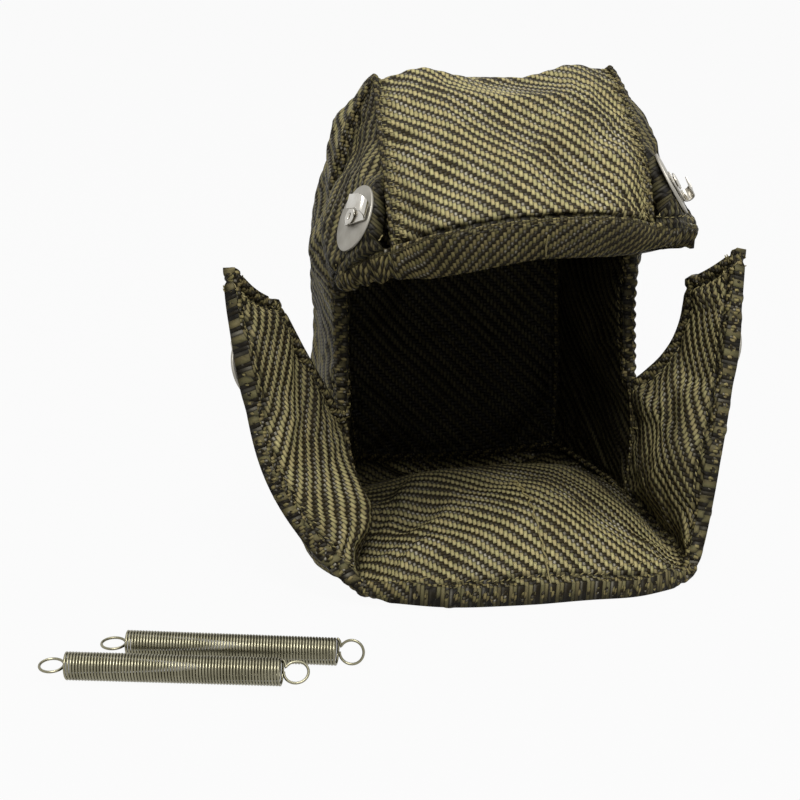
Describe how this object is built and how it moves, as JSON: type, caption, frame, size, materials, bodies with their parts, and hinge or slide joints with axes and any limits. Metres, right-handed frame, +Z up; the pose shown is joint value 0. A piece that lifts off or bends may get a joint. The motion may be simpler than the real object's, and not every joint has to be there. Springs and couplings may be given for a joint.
{
  "type": "turbo heat blanket",
  "caption": "Quilted insulating jacket, open at the front like a clam, that wraps a turbine housing and is drawn shut by coil springs between riveted hooks.",
  "frame": {"origin": "on the flat underside, in the middle plane of the blanket, below the edge where the side walls end", "axes": "+X to the right, +Y towards the closed back, so the mouth faces -Y, and +Z up"},
  "size_m": [0.3188, 0.2663, 0.2161],
  "materials": {
    "cover_cloth": "woven mineral-fibre yarn",
    "liner_cloth": "woven mineral-fibre yarn",
    "wadding": "ceramic-fibre felt",
    "binding": "woven tape",
    "washer_steel": "matte",
    "hook_steel": "bright",
    "spring_steel": "drawn wire"
  },
  "bodies": {
    "root": {"back_cover": "cover_cloth", "back_wadding": "wadding", "back_liner": "liner_cloth", "top_cover": "cover_cloth", "top_wadding": "wadding", "top_liner": "liner_cloth", "base_cover": "cover_cloth", "base_wadding": "wadding", "base_liner": "liner_cloth", "left_cheek_cover": "cover_cloth", "left_cheek_wadding": "wadding", "left_cheek_liner": "liner_cloth", "left_wall_cover": "cover_cloth", "left_wall_wadding": "wadding", "left_wall_liner": "liner_cloth", "left_wing_cover": "cover_cloth", "left_wing_wadding": "wadding", "left_wing_liner": "liner_cloth", "right_cheek_cover": "cover_cloth", "right_cheek_wadding": "wadding", "right_cheek_liner": "liner_cloth", "right_wall_cover": "cover_cloth", "right_wall_wadding": "wadding", "right_wall_liner": "liner_cloth", "right_wing_cover": "cover_cloth", "right_wing_wadding": "wadding", "right_wing_liner": "liner_cloth", "hood_rim_binding": "binding", "lip_binding": "binding", "left_jaw_binding": "binding", "left_jamb_binding": "binding", "left_wing_binding": "binding", "right_jaw_binding": "binding", "right_jamb_binding": "binding", "right_wing_binding": "binding", "left_hood_washer": "washer_steel", "left_hood_hook": "hook_steel", "left_hood_backing_washer": "washer_steel", "left_hood_rivet": "hook_steel", "left_wing_washer": "washer_steel", "left_wing_hook": "hook_steel", "left_wing_backing_washer": "washer_steel", "left_wing_rivet": "hook_steel", "right_hood_washer": "washer_steel", "right_hood_hook": "hook_steel", "right_hood_backing_washer": "washer_steel", "right_hood_rivet": "hook_steel", "right_wing_washer": "washer_steel", "right_wing_hook": "hook_steel", "right_wing_backing_washer": "washer_steel", "right_wing_rivet": "hook_steel", "front_spring": "spring_steel", "rear_spring": "spring_steel"}
  },
  "joints": []
}
